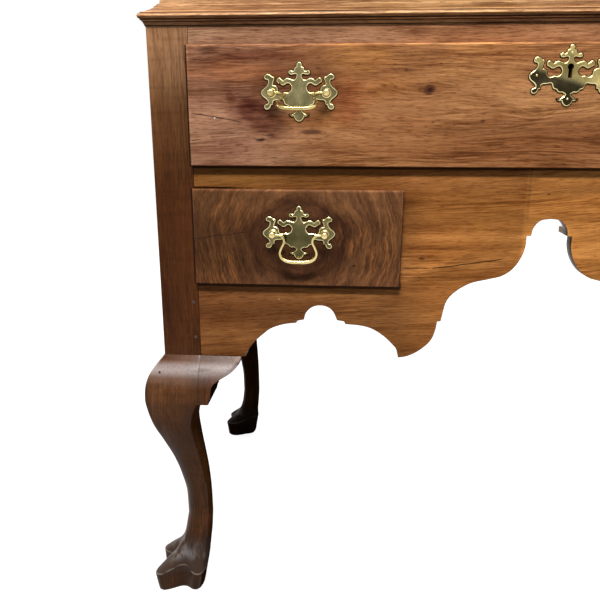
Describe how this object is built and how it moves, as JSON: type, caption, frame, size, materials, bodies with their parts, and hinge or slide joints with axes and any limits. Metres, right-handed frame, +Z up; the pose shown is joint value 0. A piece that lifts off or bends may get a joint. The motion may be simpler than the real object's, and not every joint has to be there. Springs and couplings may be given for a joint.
{
  "type": "highboy",
  "caption": "Tall walnut chest of lipped drawers on cabriole legs with three-toed feet, a sawn apron, a waist moulding, a flat cornice and pierced brass plates with swinging bails.",
  "frame": {"origin": "on the floor, under the middle of the whole piece", "axes": "+Z up, +X to the right of someone facing the drawers, +Y from the front to the back"},
  "size_m": [1.0794, 0.6211, 1.7327],
  "materials": {
    "walnut": "old walnut under a worn varnish",
    "dark_walnut": "darker walnut under a worn varnish",
    "poplar": "unfinished secondary wood",
    "brass": "cast, polished and aged"
  },
  "bodies": {
    "case": {"leg_front_left": "dark_walnut", "leg_front_right": "dark_walnut", "leg_rear_left": "dark_walnut", "leg_rear_right": "dark_walnut", "knee_block_front_left": "dark_walnut", "knee_block_front_right": "dark_walnut", "apron": "walnut", "lower_top_rail": "walnut", "lower_side_left": "walnut", "lower_side_right": "walnut", "lower_back": "poplar", "waist_moulding": "walnut", "long_drawer_dust_board": "poplar", "small_drawer_runner_left": "poplar", "small_drawer_runner_right": "poplar", "upper_side_left": "walnut", "upper_side_right": "walnut", "upper_bottom": "walnut", "upper_top": "walnut", "upper_back": "poplar", "upper_divider_1": "walnut", "upper_divider_2": "walnut", "upper_divider_3": "walnut", "cornice": "walnut"},
    "long_drawer": {"long_drawer_front": "walnut", "long_drawer_box": "poplar", "escutcheon": "brass", "plate_long_left": "brass", "plate_long_right": "brass"},
    "bail_long_left": {"bail_long_left": "brass"},
    "bail_long_right": {"bail_long_right": "brass"},
    "small_drawer_left": {"small_drawer_left_front": "walnut", "small_drawer_left_box": "poplar", "plate_small_left": "brass"},
    "bail_small_left": {"bail_small_left": "brass"},
    "small_drawer_right": {"small_drawer_right_front": "walnut", "small_drawer_right_box": "poplar", "plate_small_right": "brass"},
    "bail_small_right": {"bail_small_right": "brass"},
    "upper_drawer_1": {"upper_drawer_1": "walnut", "plate_upper_1_left": "brass", "plate_upper_1_right": "brass"},
    "bail_upper_1_left": {"bail_upper_1_left": "brass"},
    "bail_upper_1_right": {"bail_upper_1_right": "brass"},
    "upper_drawer_2": {"upper_drawer_2": "walnut", "plate_upper_2_left": "brass", "plate_upper_2_right": "brass"},
    "bail_upper_2_left": {"bail_upper_2_left": "brass"},
    "bail_upper_2_right": {"bail_upper_2_right": "brass"},
    "upper_drawer_3": {"upper_drawer_3": "walnut", "plate_upper_3_left": "brass", "plate_upper_3_right": "brass"},
    "bail_upper_3_left": {"bail_upper_3_left": "brass"},
    "bail_upper_3_right": {"bail_upper_3_right": "brass"},
    "upper_short_drawer_left": {"upper_short_drawer_left": "walnut", "plate_upper_short_left": "brass"},
    "bail_upper_short_left": {"bail_upper_short_left": "brass"},
    "upper_short_drawer_right": {"upper_short_drawer_right": "walnut", "plate_upper_short_right": "brass"},
    "bail_upper_short_right": {"bail_upper_short_right": "brass"}
  },
  "joints": [
    {"name": "long_drawer_slide", "type": "slide", "parent": "case", "child": "long_drawer", "axis": [0, -1, 0], "range_m": [0, 0.38]},
    {"name": "bail_long_left_hinge", "type": "hinge", "parent": "long_drawer", "child": "bail_long_left", "pos_m": [-0.3188, -0.28227, 0.7294], "axis": [-1, 0, 0], "range_deg": [-67, 38]},
    {"name": "bail_long_right_hinge", "type": "hinge", "parent": "long_drawer", "child": "bail_long_right", "pos_m": [0.3188, -0.28227, 0.7294], "axis": [-1, 0, 0], "range_deg": [-10, 95]},
    {"name": "small_drawer_left_slide", "type": "slide", "parent": "case", "child": "small_drawer_left", "axis": [0, -1, 0], "range_m": [0, 0.38]},
    {"name": "bail_small_left_hinge", "type": "hinge", "parent": "small_drawer_left", "child": "bail_small_left", "pos_m": [-0.3188, -0.28227, 0.5564], "axis": [-1, 0, 0], "range_deg": [-10, 95]},
    {"name": "small_drawer_right_slide", "type": "slide", "parent": "case", "child": "small_drawer_right", "axis": [0, -1, 0], "range_m": [0, 0.38]},
    {"name": "bail_small_right_hinge", "type": "hinge", "parent": "small_drawer_right", "child": "bail_small_right", "pos_m": [0.3188, -0.28227, 0.5564], "axis": [-1, 0, 0], "range_deg": [-10, 95]},
    {"name": "upper_drawer_1_slide", "type": "slide", "parent": "case", "child": "upper_drawer_1", "axis": [0, -1, 0], "range_m": [0, 0.38]},
    {"name": "bail_upper_1_left_hinge", "type": "hinge", "parent": "upper_drawer_1", "child": "bail_upper_1_left", "pos_m": [-0.3188, -0.26647, 0.9772], "axis": [-1, 0, 0], "range_deg": [-10, 95]},
    {"name": "bail_upper_1_right_hinge", "type": "hinge", "parent": "upper_drawer_1", "child": "bail_upper_1_right", "pos_m": [0.3188, -0.26647, 0.9772], "axis": [-1, 0, 0], "range_deg": [-10, 95]},
    {"name": "upper_drawer_2_slide", "type": "slide", "parent": "case", "child": "upper_drawer_2", "axis": [0, -1, 0], "range_m": [0, 0.38]},
    {"name": "bail_upper_2_left_hinge", "type": "hinge", "parent": "upper_drawer_2", "child": "bail_upper_2_left", "pos_m": [-0.3188, -0.26647, 1.2022], "axis": [-1, 0, 0], "range_deg": [-10, 95]},
    {"name": "bail_upper_2_right_hinge", "type": "hinge", "parent": "upper_drawer_2", "child": "bail_upper_2_right", "pos_m": [0.3188, -0.26647, 1.2022], "axis": [-1, 0, 0], "range_deg": [-10, 95]},
    {"name": "upper_drawer_3_slide", "type": "slide", "parent": "case", "child": "upper_drawer_3", "axis": [0, -1, 0], "range_m": [0, 0.38]},
    {"name": "bail_upper_3_left_hinge", "type": "hinge", "parent": "upper_drawer_3", "child": "bail_upper_3_left", "pos_m": [-0.3188, -0.26647, 1.4047], "axis": [-1, 0, 0], "range_deg": [-10, 95]},
    {"name": "bail_upper_3_right_hinge", "type": "hinge", "parent": "upper_drawer_3", "child": "bail_upper_3_right", "pos_m": [0.3188, -0.26647, 1.4047], "axis": [-1, 0, 0], "range_deg": [-10, 95]},
    {"name": "upper_short_drawer_left_slide", "type": "slide", "parent": "case", "child": "upper_short_drawer_left", "axis": [0, -1, 0], "range_m": [0, 0.38]},
    {"name": "bail_upper_short_left_hinge", "type": "hinge", "parent": "upper_short_drawer_left", "child": "bail_upper_short_left", "pos_m": [-0.2391, -0.26647, 1.5732], "axis": [-1, 0, 0], "range_deg": [-10, 95]},
    {"name": "upper_short_drawer_right_slide", "type": "slide", "parent": "case", "child": "upper_short_drawer_right", "axis": [0, -1, 0], "range_m": [0, 0.38]},
    {"name": "bail_upper_short_right_hinge", "type": "hinge", "parent": "upper_short_drawer_right", "child": "bail_upper_short_right", "pos_m": [0.2391, -0.26647, 1.5732], "axis": [-1, 0, 0], "range_deg": [-10, 95]}
  ]
}
